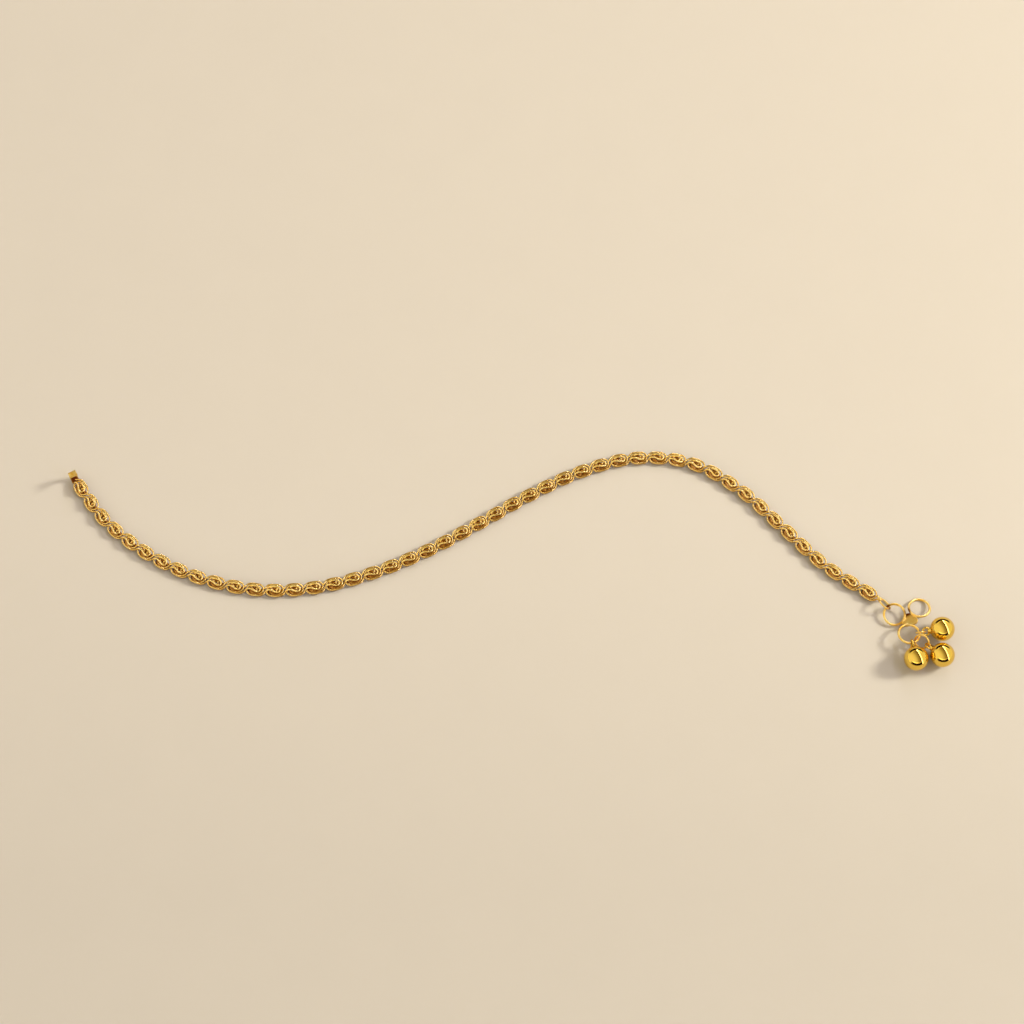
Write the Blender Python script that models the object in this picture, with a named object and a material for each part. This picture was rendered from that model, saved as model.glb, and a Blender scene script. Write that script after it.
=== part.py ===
"""Chain anklet: a snail chain with a strip hook, a trefoil of size rings and three round bells.

It lies open on a flat surface at z = 0, in a long wave, as a worn anklet is laid down.
Units are metres, +Z is up, +X runs from the hook to the bells.
"""

import math

import bmesh
import bpy
from mathutils import Matrix, Vector

# Chain
CHAIN_ROUTE = [
    (-0.1165, 0.0228),
    (-0.1070, 0.0105),
    (-0.0947, 0.0010),
    (-0.0806, -0.0055),
    (-0.0654, -0.0086),
    (-0.0499, -0.0078),
    (-0.0349, -0.0036),
    (-0.0207, 0.0027),
    (-0.0072, 0.0104),
    (0.0062, 0.0185),
    (0.0201, 0.0254),
    (0.0350, 0.0295),
    (0.0504, 0.0280),
    (0.0636, 0.0200),
    (0.0747, 0.0090),
    (0.0857, -0.0020),
    (0.0985, -0.0108),
]
UNIT_COUNT = 47
UNIT_PITCH = 0.0053
CHAIN_WIDTH = 0.0036
CHAIN_HEIGHT = 0.0023
CHAIN_WIRE = 0.0005
CHAIN_CROWN = 0.0002
BEND_CLEARANCE = 0.00014
INNER_BEND_SHARE = 0.6
ARM_TURNS = 1.25
LOOP_SQUARENESS = 2.6
POINTS_PER_TURN = 8

# Hook
HOOK_WIDTH = 0.0023
HOOK_THICKNESS = 0.0005
HOOK_HEIGHT = 0.0052
HOOK_REACH = 0.0013
HOOK_OVERLAP = 0.0008
HOOK_BEND = 0.0007
HOOK_LIP = 0.0004

# Size rings and their plate
SIZE_RING_DIAMETER = 0.0062
SIZE_RING_WIRE = 0.00065
RING_SPREAD = 0.0014
PLATE_THICKNESS = 0.00045
PLATE_CORNER = 0.0013
PLATE_OVERLAP = 0.00016
SOLDER_DEPTH = 0.00018
SOLDER_BEAD = 0.0012

# Jump rings
END_RING_DIAMETER = 0.0041
SIDE_RING_DIAMETER = 0.0029
FRONT_RING_DIAMETER = 0.0043
JUMP_WIRE = 0.00050

# Bells
BELL_DIAMETER = 0.0065
BELL_WALL = 0.0004
SLIT_WIDTH = 0.0006
SLIT_SPAN = 0.0040
EYE_DIAMETER = 0.0024
EYE_WIRE = 0.0005

# Fits
GAP = 0.0003
PLAY = 0.0002

# Headings in the plan, in degrees from +X
END_RING_HEADING = -44.0
FIRST_RING_HEADING = -50.0
PLATE_HEADING = -21.0
BACK_SIZE_RING_HEADING = 53.0
BELL_SIZE_RING_HEADING = 260.0
SIDE_RING_HEADING = 9.0
FRONT_RING_HEADING = -36.0
BELL_FRONT_HEADING = -79.0
BELL_RIGHT_HEADING = -36.0
BELL_BACK_HEADING = 7.0

# Lean of each ring's plane, in degrees
END_RING_LEAN = 50.0
FIRST_RING_LEAN = 12.0
BACK_SIZE_RING_LEAN = 15.0
BELL_SIZE_RING_LEAN = 11.0
SIDE_RING_LEAN = 70.0
FRONT_RING_LEAN = 52.0

# Facets
RING_SIDES = 14
WIRE_SIDES = 6
BEAD_SIDES = 8
BELL_SIDES = 14
HOLLOW_SIDES = 12
PLATE_CORNER_STEPS = 4
SHARP_ANGLE = 35.0
MERGE = 0.00001

GOLD = {
    "chain": ((0.86, 0.60, 0.19), 0.28),
    "hook": ((0.80, 0.58, 0.22), 0.35),
    "rings": ((0.88, 0.65, 0.24), 0.22),
    "bells": ((0.90, 0.64, 0.18), 0.10),
}


def heading(degrees):
    """Unit vector in the plan for a heading in degrees."""
    angle = math.radians(degrees)
    return Vector((math.cos(angle), math.sin(angle), 0.0))


class Route:
    """Smooth plan curve through the chain's points, measured by its length."""

    STEPS = 60

    def __init__(self, points):
        self.samples = []
        self.lengths = [0.0]
        knots = [Vector(p) for p in points]
        first = knots[0] * 2 - knots[1]
        last = knots[-1] * 2 - knots[-2]
        padded = [first] + knots + [last]
        for i in range(1, len(padded) - 2):
            for step in range(self.STEPS):
                self.samples.append(self.between(padded[i - 1:i + 3], step / self.STEPS))
        self.samples.append(knots[-1])
        for a, b in zip(self.samples, self.samples[1:]):
            self.lengths.append(self.lengths[-1] + (b - a).length)

    @staticmethod
    def between(p, t):
        """Catmull-Rom point between the two middle knots."""
        return 0.5 * (
            2 * p[1]
            + (p[2] - p[0]) * t
            + (2 * p[0] - 5 * p[1] + 4 * p[2] - p[3]) * t ** 2
            + (3 * p[1] - p[0] - 3 * p[2] + p[3]) * t ** 3
        )

    def at(self, distance):
        """Point and unit tangent at a distance, run on straight past either end."""
        index = 0
        while index < len(self.lengths) - 2 and self.lengths[index + 1] < distance:
            index += 1
        a = self.samples[index]
        b = self.samples[index + 1]
        tangent = (b - a).normalized()
        return a + tangent * (distance - self.lengths[index]), tangent

    def place(self, distance, side):
        """Point beside the curve, side metres to its left."""
        point, tangent = self.at(distance)
        return point + Vector((-tangent.y, tangent.x)) * side


def collection(name):
    """New collection in the scene."""
    group = bpy.data.collections.new(name)
    bpy.context.scene.collection.children.link(group)
    return group


def gold(name, kind):
    """Polished gold plate for one piece."""
    colour, roughness = GOLD[kind]
    material = bpy.data.materials.new(name + "_gold")
    material.use_nodes = True
    shader = material.node_tree.nodes["Principled BSDF"]
    shader.inputs["Base Color"].default_value = (*colour, 1.0)
    shader.inputs["Metallic"].default_value = 1.0
    shader.inputs["Roughness"].default_value = roughness
    material.diffuse_color = (*colour, 1.0)
    return material


def move_to(thing, group):
    """Put an object in this collection alone."""
    for old in list(thing.users_collection):
        old.objects.unlink(thing)
    group.objects.link(thing)


def as_helper(thing):
    """Keep a shape as a construction body that isn't a piece."""
    move_to(thing, HELPERS)
    thing.hide_render = True
    thing.display_type = "WIRE"
    return thing


def as_piece(thing, name, kind):
    """Name a finished piece and give it its metal."""
    thing.name = name
    thing.data.name = name
    move_to(thing, PIECES)
    thing.data.materials.clear()
    thing.data.materials.append(gold(name, kind))
    thing.data.shade_smooth()
    thing.data.set_sharp_from_angle(angle=math.radians(SHARP_ANGLE))
    return thing


def boolean(thing, other, operation):
    """Add another body to a piece, or cut it away."""
    modifier = thing.modifiers.new(operation.lower(), "BOOLEAN")
    modifier.operation = operation
    modifier.solver = "EXACT"
    modifier.object = as_helper(other)


def outline(name, points):
    """Closed flat curve used as a wire's section or a plate's edge."""
    data = bpy.data.curves.new(name, "CURVE")
    data.dimensions = "2D"
    spline = data.splines.new("POLY")
    spline.points.add(len(points) - 1)
    for slot, point in zip(spline.points, points):
        slot.co = (point[0], point[1], 0.0, 1.0)
    spline.use_cyclic_u = True
    return data


def to_mesh(thing):
    """Turn a curve object into a welded mesh object at the same place."""
    bpy.context.view_layer.update()
    evaluated = thing.evaluated_get(bpy.context.evaluated_depsgraph_get())
    mesh = bpy.data.meshes.new_from_object(evaluated)
    solid = bpy.data.objects.new(thing.name + "_solid", mesh)
    PIECES.objects.link(solid)
    solid.matrix_world = thing.matrix_world.copy()
    bpy.data.objects.remove(thing)
    weld(mesh)
    return solid


def weld(mesh):
    """Join the points that lie together and turn all faces outward."""
    body = bmesh.new()
    body.from_mesh(mesh)
    bmesh.ops.remove_doubles(body, verts=body.verts, dist=MERGE)
    bmesh.ops.recalc_face_normals(body, faces=body.faces)
    body.to_mesh(mesh)
    body.free()


def sweep(name, path, section):
    """Sweep a closed section along a flat path, the section's y axis staying upright."""
    profile = bpy.data.objects.new(name + "_section", outline(name + "_section", section))
    as_helper(profile)
    data = bpy.data.curves.new(name + "_path", "CURVE")
    data.dimensions = "3D"
    data.twist_mode = "Z_UP"
    spline = data.splines.new("POLY")
    spline.points.add(len(path) - 1)
    for slot, point in zip(spline.points, path):
        slot.co = (point[0], point[1], 0.0, 1.0)
    data.bevel_mode = "OBJECT"
    data.bevel_object = profile
    data.use_fill_caps = True
    thing = bpy.data.objects.new(name + "_path", data)
    PIECES.objects.link(thing)
    return to_mesh(thing)


def fuller(share):
    """Push a sine or cosine outward, so that a loop has squarer shoulders than an ellipse."""
    return math.copysign(abs(share) ** (2 / LOOP_SQUARENESS), share)


def scroll_unit():
    """One unit of snail chain in its own frame: x along the chain, y to its left.

    Two arms wind in from the unit's ends, each for one turn and a quarter,
    and hook together at its centre.
    """
    outer = (CHAIN_WIDTH - CHAIN_WIRE) / 2
    end = UNIT_PITCH / 2
    bend = end - CHAIN_WIRE - BEND_CLEARANCE
    reaches = [end, bend, bend * INNER_BEND_SHARE, 0.0]
    arm = []
    for index in range(round(ARM_TURNS * POINTS_PER_TURN)):
        turns = index / POINTS_PER_TURN
        half_turns = turns + turns
        passed = int(half_turns)
        reach = reaches[passed] + (reaches[passed + 1] - reaches[passed]) * (half_turns - passed)
        width = outer * (ARM_TURNS - turns)
        angle = math.pi * (1 - half_turns)
        arm.append(Vector((reach * fuller(math.cos(angle)), width * fuller(math.sin(angle)))))
    arm.append(Vector((0.0, 0.0)))
    back = [-point for point in reversed(arm[:-1])]
    return arm + back


def chain_section():
    """House-shaped section of a link: flat foot, upright sides and a low crown."""
    half = CHAIN_WIRE / 2
    shoulder = CHAIN_HEIGHT - CHAIN_CROWN
    return [(-half, 0.0), (half, 0.0), (half, shoulder), (0.0, CHAIN_HEIGHT), (-half, shoulder)]


def make_chain(route):
    """All units in a row along the route, one fused body."""
    unit = scroll_unit()
    path = []
    for count in range(UNIT_COUNT):
        centre = (count + 0.5) * UNIT_PITCH
        start = 0 if count == 0 else 1
        for point in unit[start:]:
            path.append(route.place(centre + point.x, point.y))
    return as_piece(sweep("chain", path, chain_section()), "chain", "chain")


def make_hook(route):
    """Strip hook: a foot at the chain's end, an upright back and a top that returns over the chain."""
    point, tangent = route.at(0.0)
    foot = CHAIN_HEIGHT / 2
    top = HOOK_HEIGHT - HOOK_THICKNESS / 2
    path = [(GAP, foot)]
    path += bend((HOOK_REACH, foot), (-1, 0), (0, 1))
    path += bend((HOOK_REACH, top), (0, -1), (-1, 0))
    path += [(-HOOK_OVERLAP, top)]
    path += [(-HOOK_OVERLAP - HOOK_LIP, top - HOOK_LIP)]
    half_width = HOOK_WIDTH / 2
    half = HOOK_THICKNESS / 2
    section = [(-half, -half_width), (half, -half_width), (half, half_width), (-half, half_width)]
    hook = sweep("clasp_hook", path, section)
    outward = Vector((-tangent.x, -tangent.y, 0.0))
    up = Vector((0, 0, 1))
    side = outward.cross(up)
    turn = Matrix((outward, up, side)).transposed().to_4x4()
    hook.matrix_world = Matrix.Translation((point.x, point.y, 0.0)) @ turn
    return as_piece(hook, "clasp_hook", "hook")


def bend(corner, back, ahead):
    """Three points rounding a corner of a flat path."""
    points = []
    for share in (0.0, 0.5, 1.0):
        angle = share * math.pi / 2
        points.append((
            corner[0] + HOOK_BEND * (back[0] * (1 - math.sin(angle)) + ahead[0] * (1 - math.cos(angle))),
            corner[1] + HOOK_BEND * (back[1] * (1 - math.sin(angle)) + ahead[1] * (1 - math.cos(angle))),
        ))
    return points


class Ring:
    """A round wire ring: centre, plane normal, middle radius and wire."""

    def __init__(self, centre, normal, diameter, wire):
        self.centre = Vector(centre)
        self.normal = Vector(normal).normalized()
        self.radius = (diameter - wire) / 2
        self.wire = wire

    def toward(self, degrees):
        """Unit vector in the ring's plane with this heading in the plan."""
        flat = heading(degrees)
        flat.z = -flat.dot(self.normal) / self.normal.z
        return flat.normalized()

    def linked_centre(self, degrees, diameter, wire):
        """Centre of a ring that is pulled tight through this one."""
        reach = self.radius + (diameter - wire) / 2 - (self.wire + wire) / 2 - PLAY
        return self.centre + self.toward(degrees) * reach

    def body(self, name):
        """Round wire body of the ring at its place."""
        bpy.ops.mesh.primitive_torus_add(
            major_segments=RING_SIDES,
            minor_segments=WIRE_SIDES,
            major_radius=self.radius,
            minor_radius=self.wire / 2,
        )
        thing = bpy.context.object
        thing.name = name
        turn = Vector((0, 0, 1)).rotation_difference(self.normal).to_matrix().to_4x4()
        thing.matrix_world = Matrix.Translation(self.centre) @ turn
        return thing


def leaning(lean, uphill):
    """Normal of a plane that rises by lean degrees towards the heading uphill."""
    angle = math.radians(lean)
    return -heading(uphill) * math.sin(angle) + Vector((0, 0, math.cos(angle)))


def rest_height(radius, wire, lean):
    """Height of a leaning ring's centre when its lowest edge rests on the surface."""
    return wire / 2 + radius * math.sin(math.radians(lean))


def plan_rings(route):
    """Centres and planes of all rings, each one linked to the one before."""
    end, _ = route.at(UNIT_COUNT * UNIT_PITCH)
    rings = {}
    size_radius = (SIZE_RING_DIAMETER - SIZE_RING_WIRE) / 2
    end_radius = (END_RING_DIAMETER - JUMP_WIRE) / 2
    end_reach = end_radius + SOLDER_BEAD / 2 + GAP
    end_centre = Vector((end.x, end.y, 0)) + heading(END_RING_HEADING) * end_reach
    end_centre.z = rest_height(end_radius, JUMP_WIRE, END_RING_LEAN)
    rings["end"] = Ring(
        end_centre, leaning(END_RING_LEAN, FIRST_RING_HEADING - 90), END_RING_DIAMETER, JUMP_WIRE)
    first_centre = rings["end"].linked_centre(FIRST_RING_HEADING, SIZE_RING_DIAMETER, SIZE_RING_WIRE)
    first_centre.z = PLATE_THICKNESS + rest_height(size_radius, SIZE_RING_WIRE, FIRST_RING_LEAN)
    rings["size_1"] = Ring(first_centre, leaning(FIRST_RING_LEAN, 90), SIZE_RING_DIAMETER, SIZE_RING_WIRE)
    spread = (SIZE_RING_DIAMETER + RING_SPREAD) / math.sqrt(3)
    middle = first_centre + heading(PLATE_HEADING) * spread
    back = middle + heading(BACK_SIZE_RING_HEADING) * spread
    back.z = rest_height(size_radius, SIZE_RING_WIRE, BACK_SIZE_RING_LEAN)
    rings["size_2"] = Ring(back, leaning(BACK_SIZE_RING_LEAN, -90), SIZE_RING_DIAMETER, SIZE_RING_WIRE)
    front = middle + heading(BELL_SIZE_RING_HEADING) * spread
    front.z = BELL_DIAMETER / 2 - size_radius * math.sin(math.radians(BELL_SIZE_RING_LEAN))
    rings["size_3"] = Ring(front, leaning(BELL_SIZE_RING_LEAN, -90), SIZE_RING_DIAMETER, SIZE_RING_WIRE)
    side_centre = rings["size_3"].linked_centre(SIDE_RING_HEADING, SIDE_RING_DIAMETER, JUMP_WIRE)
    rings["side"] = Ring(
        side_centre, leaning(SIDE_RING_LEAN, SIDE_RING_HEADING - 90), SIDE_RING_DIAMETER, JUMP_WIRE)
    front_centre = rings["size_3"].linked_centre(FRONT_RING_HEADING, FRONT_RING_DIAMETER, JUMP_WIRE)
    rings["front"] = Ring(
        front_centre, leaning(FRONT_RING_LEAN, FRONT_RING_HEADING + 90), FRONT_RING_DIAMETER, JUMP_WIRE)
    return rings, middle


def make_end_ring(ring):
    """Jump ring with the bead of solder that fixes it to the chain's end."""
    body = ring.body("end_ring")
    centre = ring.centre - ring.toward(END_RING_HEADING) * ring.radius
    bead = ball("end_ring_bead_body", SOLDER_BEAD / 2, BEAD_SIDES, Matrix.Translation(centre))
    boolean(body, bead, "UNION")
    return as_piece(body, "end_ring", "rings")


def make_size_rings(rings, middle):
    """Three rings soldered onto a small plate, one body."""
    three = [rings["size_1"], rings["size_2"], rings["size_3"]]
    near = []
    for ring in three:
        towards = middle - ring.centre
        degrees = math.degrees(math.atan2(towards.y, towards.x))
        near.append(ring.centre + ring.toward(degrees) * ring.radius)
    normal = (near[1] - near[0]).cross(near[2] - near[0]).normalized()
    if normal.z < 0:
        normal.negate()
    centre = sum(near, Vector()) / 3
    centre -= normal * (PLATE_THICKNESS / 2 + SIZE_RING_WIRE / 2 - SOLDER_DEPTH)
    body = make_plate(centre, normal, three)
    for index, ring in enumerate(three):
        boolean(body, ring.body("size_ring_%d_body" % (index + 1)), "UNION")
    return as_piece(body, "size_rings", "rings")


def make_plate(centre, normal, three):
    """Rounded triangle under the rings, its corners in the gaps between them."""
    turn = Vector((0, 0, 1)).rotation_difference(normal).to_matrix().to_4x4()
    place = Matrix.Translation(centre) @ turn
    back = place.inverted()
    spokes = []
    for ring in three:
        flat = back @ ring.centre
        spokes.append(math.atan2(flat.y, flat.x))
    spokes.sort()
    spokes.append(spokes[0] + 2 * math.pi)
    reach = (SIZE_RING_DIAMETER + RING_SPREAD) / math.sqrt(3) - (SIZE_RING_DIAMETER - SIZE_RING_WIRE) / 2
    half_corner = math.radians(60)
    distance = (reach + PLATE_OVERLAP - PLATE_CORNER) / math.cos(half_corner)
    points = []
    for before, after in zip(spokes, spokes[1:]):
        corner = (before + after) / 2
        hub = Vector((math.cos(corner), math.sin(corner))) * distance
        for step in range(PLATE_CORNER_STEPS + 1):
            angle = corner + half_corner * (2 * step / PLATE_CORNER_STEPS - 1)
            points.append(hub + Vector((math.cos(angle), math.sin(angle))) * PLATE_CORNER)
    data = outline("plate", points)
    data.fill_mode = "BOTH"
    data.extrude = PLATE_THICKNESS / 2
    thing = bpy.data.objects.new("plate", data)
    PIECES.objects.link(thing)
    thing.matrix_world = place
    return to_mesh(thing)


def make_bell(name, carrier, degrees):
    """Hollow round bell whose eye is threaded on a ring and whose ball rests on the surface."""
    eye_radius = (EYE_DIAMETER - EYE_WIRE) / 2
    ball_radius = BELL_DIAMETER / 2
    eye_centre = carrier.linked_centre(degrees, EYE_DIAMETER, EYE_WIRE)
    reach = eye_radius + ball_radius
    fall = math.asin((eye_centre.z - ball_radius) / reach)
    axis = heading(degrees) * math.cos(fall) - Vector((0, 0, math.sin(fall)))
    centre = eye_centre + axis * reach
    along = carrier.normal.cross(carrier.toward(degrees))
    eye_normal = (along - axis * along.dot(axis)).normalized()
    side = axis.cross(eye_normal)
    turn = Matrix((side, eye_normal, axis)).transposed().to_4x4()
    place = Matrix.Translation(centre) @ turn
    bell = ball(name, ball_radius, BELL_SIDES, place)
    boolean(bell, Ring(eye_centre, eye_normal, EYE_DIAMETER, EYE_WIRE).body(name + "_eye_body"), "UNION")
    boolean(bell, ball(name + "_hollow_body", ball_radius - BELL_WALL, HOLLOW_SIDES, place), "DIFFERENCE")
    bpy.ops.mesh.primitive_cube_add(size=1.0)
    slit = bpy.context.object
    slit.name = name + "_slit_body"
    level = Vector((0, 0, 1)).cross(axis).normalized()
    slit_turn = Matrix((axis.cross(level), level, axis)).transposed().to_4x4()
    slit.matrix_world = (
        Matrix.Translation(centre + axis * ball_radius)
        @ slit_turn
        @ Matrix.Diagonal((SLIT_WIDTH, SLIT_SPAN, ball_radius, 1.0))
    )
    boolean(bell, slit, "DIFFERENCE")
    return as_piece(bell, name, "bells")


def ball(name, radius, sides, place):
    """Round body with its poles along its own z axis."""
    bpy.ops.mesh.primitive_uv_sphere_add(segments=sides, ring_count=sides // 2 + 1, radius=radius)
    thing = bpy.context.object
    thing.name = name
    thing.matrix_world = place
    return thing


def main():
    """Model the anklet from the hook to the bells."""
    route = Route(CHAIN_ROUTE)
    make_hook(route)
    make_chain(route)
    rings, middle = plan_rings(route)
    make_end_ring(rings["end"])
    make_size_rings(rings, middle)
    as_piece(rings["side"].body("bell_ring_side"), "bell_ring_side", "rings")
    as_piece(rings["front"].body("bell_ring_front"), "bell_ring_front", "rings")
    make_bell("bell_front", rings["size_3"], BELL_FRONT_HEADING)
    make_bell("bell_right", rings["front"], BELL_RIGHT_HEADING)
    make_bell("bell_back", rings["side"], BELL_BACK_HEADING)


for leftover in list(bpy.data.objects):
    bpy.data.objects.remove(leftover)
PIECES = collection("chain_anklet")
HELPERS = collection("construction")
main()
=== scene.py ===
"""Looks of the chain anklet: snail chain, strip hook, size rings and three round bells.

Lengths are in metres in the frame of the solids: +X runs from the hook to the bells.
"""

import math

import bpy
from mathutils import Matrix, Vector


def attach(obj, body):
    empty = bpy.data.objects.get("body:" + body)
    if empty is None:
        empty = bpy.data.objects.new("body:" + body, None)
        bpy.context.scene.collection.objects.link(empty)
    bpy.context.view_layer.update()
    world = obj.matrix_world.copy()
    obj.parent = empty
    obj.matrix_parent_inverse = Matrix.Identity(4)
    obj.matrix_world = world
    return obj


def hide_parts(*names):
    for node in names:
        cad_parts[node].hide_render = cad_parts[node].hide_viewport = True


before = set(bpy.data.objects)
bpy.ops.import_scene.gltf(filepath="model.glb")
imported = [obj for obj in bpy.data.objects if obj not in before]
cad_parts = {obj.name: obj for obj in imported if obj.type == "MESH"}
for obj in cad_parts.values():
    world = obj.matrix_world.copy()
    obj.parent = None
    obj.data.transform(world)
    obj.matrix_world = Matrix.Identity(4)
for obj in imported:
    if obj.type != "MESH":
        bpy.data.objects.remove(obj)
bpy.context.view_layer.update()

bl_info = {
    "name": "Chain anklet",
    "version": (1, 0, 0),
    "blender": (4, 5, 0),
    "location": "3D View > Sidebar > Anklet",
    "description": "Snail chain anklet with a strip hook, size rings and three round bells",
    "category": "Add Mesh",
}

BODY = "root"
UP = Vector((0.0, 0.0, 1.0))
MERGE_DISTANCE = 0.000001
# Edges flatter than this are shaded smooth on the hook and the bells
SHARP_ANGLE = math.radians(40)

# Plan points of the chain's middle line, from the hook to the bells
CHAIN_ROUTE = [
    (-0.1165, 0.0228),
    (-0.1070, 0.0105),
    (-0.0947, 0.0010),
    (-0.0806, -0.0055),
    (-0.0654, -0.0086),
    (-0.0499, -0.0078),
    (-0.0349, -0.0036),
    (-0.0207, 0.0027),
    (-0.0072, 0.0104),
    (0.0062, 0.0185),
    (0.0201, 0.0254),
    (0.0350, 0.0295),
    (0.0504, 0.0280),
    (0.0636, 0.0200),
    (0.0747, 0.0090),
    (0.0857, -0.0020),
    (0.0985, -0.0108),
]
ROUTE_RESOLUTION = 64

# Right half of a link, as shares of its pitch, half width and half height
LINK_HALF = (
    (0.000, 0.34, 0.20),
    (0.070, 0.62, 0.25),
    (0.180, 0.88, 0.30),
    (0.340, 1.00, 0.22),
    (0.540, 1.00, 0.22),
    (0.730, 0.88, 0.30),
    (0.870, 0.58, 0.20),
    (0.915, 0.20, 0.10),
    (0.890, -0.20, -0.05),
    (0.800, -0.52, -0.30),
    (0.640, -0.72, -0.50),
    (0.460, -0.72, -0.60),
    (0.330, -0.46, -0.60),
    (0.400, -0.06, -0.55),
    (0.370, 0.20, -0.25),
    (0.285, 0.30, 0.30),
    (0.350, 0.47, 0.70),
    (0.510, 0.50, 0.88),
    (0.670, 0.40, 0.92),
    (0.760, 0.12, 0.88),
    (0.760, -0.22, 0.85),
    (0.690, -0.48, 0.90),
    (0.570, -0.50, 0.97),
    (0.440, -0.32, 1.00),
    (0.310, -0.14, 0.95),
    (0.180, -0.08, 0.75),
    (0.080, -0.18, 0.40),
    (0.000, -0.34, -0.20),
)
# Where the end links' wire turns back at the chain's ends, as a share of the pitch
EYELET_REACH = 0.07
# The strands under a scroll are thicker than the ones on top: how much, and from which share of
# the half height down, over which further share
LOW_SWELL = 1.95
SWELL_TOP = -0.10
SWELL_DEPTH = 0.75
# Keeps the lowest strands just clear of the floor
LOWEST_STRAND = -0.98
LINK_RESOLUTION = 4
WIRE_RESOLUTION = 4
# Heights between which the painted shade on a link's lower wire fades out, as shares of the chain's height
PAINTED_SHADE_FLOOR = 0.34
PAINTED_SHADE_TOP = 0.60

# Start of the hook's foot along the chain's end
HOOK_ROOT = -0.00035
HOOK_BEND_STEPS = 8
HOOK_EDGE_ANGLE = math.radians(50)
# The hook stands a little askew to the chain's end
HOOK_TURN = math.radians(-9.0)
# Painted shade at the hook's foot, under its top: centre and radius
HOOK_FOOT_SHADE = (((-0.1167, 0.0231, 0.0013), 0.0015),)

# Ring name: centre, direction in which the ring's plane rises, and its lean, both in degrees
RING_PLACES = {
    "end": ((0.1005062, -0.0127194, 0.0016289), -140.0, 50.0),
    "size_1": ((0.1029487, -0.0156304, 0.0013520), 90.0, 12.0),
    "size_2": ((0.1096858, -0.0136985, 0.0010432), -90.0, 15.0),
    "size_3": ((0.1062832, -0.0215240, 0.0027205), -90.0, 11.0),
    "side": ((0.1094424, -0.0210237, 0.0026232), -81.0, 70.0),
    "front": ((0.1094180, -0.0238016, 0.0031632), 54.0, 52.0),
}
# Centre and radius of each dark spot of painted shade where the rings meet each other and the bells' eyes
RING_SHADE_SPOTS = (
    ((0.1013, -0.0138, 0.0017), 0.0011),
    ((0.1063, -0.0148, 0.0009), 0.0016),
    ((0.1098, -0.0206, 0.0026), 0.0012),
    ((0.1070, -0.0241, 0.0030), 0.0010),
)
RING_SIDES = 72
WIRE_SIDES = 16
PLATE_CENTRE = (0.1070452, -0.0172028, 0.0013520)
# Direction in which the end ring lies from its solder bead
SOLDER_HEADING = -44.0
# Length by which the plate reaches under the rings, and how far it is let into their wire
PLATE_OVERLAP = 0.00016
PLATE_SINK = 0.00018
PLATE_CORNER_STEPS = 12
THIRD_TURN = 120
# Radius of the solder where a ring meets the plate, as a share of the ring's wire
SOLDER_SHARE = 0.62
# Grain of the solder's skin, and how many times it is smoothed
END_RING_GRAIN = 0.00003
END_RING_PASSES = 24
SIZE_RING_GRAIN = 0.00005
SIZE_RING_PASSES = 15
EYE_GRAIN = 0.00004
EYE_PASSES = 4

# Bell name: centre of its ball, centre of its eye and the eye's normal
BELL_PLACES = {
    "bell_front": (
        (0.1076375, -0.0284913, 0.00325), (0.1068361, -0.0243685, 0.0032734), (0.98096, 0.19088, -0.03572)),
    "bell_right": (
        (0.1145545, -0.0275335, 0.00325), (0.1111574, -0.0250653, 0.0031632), (0.34875, 0.50772, 0.78778)),
    "bell_back": (
        (0.1150154, -0.0203394, 0.00325), (0.1108750, -0.0208478, 0.0027616), (0.06650, 0.35440, -0.93273)),
}
# Neck between a bell's ball and its eye, as shares of the eye's wire
NECK_FOOT = 1.9
NECK_TOP = 1.0
NECK_LENGTH = 1.7
NECK_RISE = 0.45
NECK_SIDES = 32
EYE_SIDES = 48
# Segments and rings of the ball's outside and of its hollow
BALL_FINENESS = (96, 64)
HOLLOW_FINENESS = (48, 32)

# Worn plate: where its patches change tone, and the stretch and turn of its scratches
PATCH_EDGES = (0.35, 0.65)
SCRATCH_STRETCH = (1.0, 6.0, 2.0)
SCRATCH_TURN = (0.3, 0.2, 0.7)
SCRATCH_SHARE = 0.4
WEAR_RANGE = (0.1, 0.4)
# Painted shade between close wires: its reach, and the open shares at which it is full and gone
SHELTER_REACH = 0.0007
SHELTER_SHARES = (0.30, 0.85)
SHELTER_SAMPLES = 6
# Heights for a piece that gets no painted shade towards the floor; the painted shade between close wires
# stays
NO_FLOOR_SHADE = (-0.001, 0.0)
# Share of a painted shade spot's radius that is dark all over
SHADE_SPOT_CORE = 0.5

# Floor point that the camera and the window light look at
AIM = (0.00167, 0.0142, 0.0)
FLOOR_SIZE = 3.0
CAMERA_LENS = 85.0
CAMERA_SENSOR = 36.0
CAMERA_NEAR = 0.01

WINDOW_COLOUR = (1.0, 0.97, 0.92)
WINDOW_DISTANCE = 1.7
WINDOW_WIDTH = 0.36
WINDOW_HEIGHT = 0.30
# Axis of the arc in which the bells mirror the window
WINDOW_AXIS = (0.902, 0.413, -0.124)

# Room tones from the side away from the window (0) to the window's side (1)
ROOM_TONES = (
    (0.00, (1.12, 1.04, 0.88)),
    (0.14, (1.12, 1.04, 0.88)),
    (0.25, (0.98, 0.90, 0.74)),
    (0.365, (0.70, 0.62, 0.44)),
    (0.46, (0.44, 0.36, 0.24)),
    (0.60, (0.24, 0.19, 0.10)),
    (0.676, (0.16, 0.12, 0.06)),
    (0.690, (7.50, 7.40, 10.0)),
    (0.712, (7.50, 7.40, 10.0)),
    (0.728, (1.05, 0.98, 0.82)),
    (1.00, (1.00, 0.93, 0.78)),
)

# Factor on the room's tone by the sine of the elevation, towards the camera and away from it
HORIZON_TONES = (
    (0.00, (0.03, 0.015, 0.01)),
    (0.38, (0.03, 0.015, 0.01)),
    (0.41, (2.60, 2.60, 2.60)),
    (0.47, (2.60, 2.60, 2.60)),
    (0.53, (1.00, 1.00, 1.00)),
)
# Sine of the lean along Y from which the horizon band starts to show, and shows fully
HORIZON_START = 0.55
HORIZON_FULL = 0.75
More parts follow.
